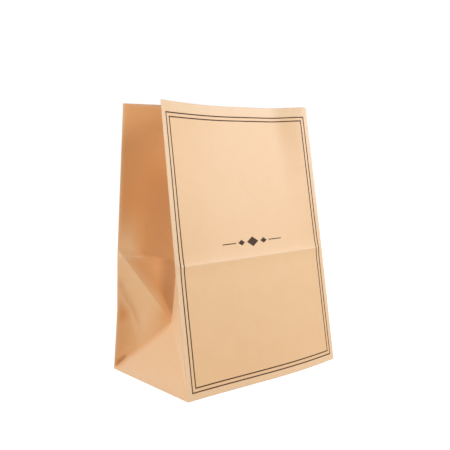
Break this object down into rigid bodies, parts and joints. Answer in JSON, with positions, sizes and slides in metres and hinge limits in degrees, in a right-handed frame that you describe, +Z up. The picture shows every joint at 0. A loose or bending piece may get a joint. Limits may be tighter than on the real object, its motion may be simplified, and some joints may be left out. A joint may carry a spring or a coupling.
{
  "type": "block bottom paper bag",
  "caption": "Brown kraft paper carry-out bag with side gussets and a flat block bottom, standing open, its pressed creases showing.",
  "frame": {"origin": "on the ground, at the middle of the rectangular base between its four folded edges", "axes": "+Z up towards the open mouth, -Y towards the wide printed front panel, +X towards the right-hand side gusset seen from the front"},
  "size_m": [0.2202, 0.1483, 0.3046],
  "materials": {
    "kraft_paper": "uncoated brown kraft paper with dark ink rules on the front"
  },
  "bodies": {
    "root": {"paper_bag": "kraft_paper"}
  },
  "joints": []
}
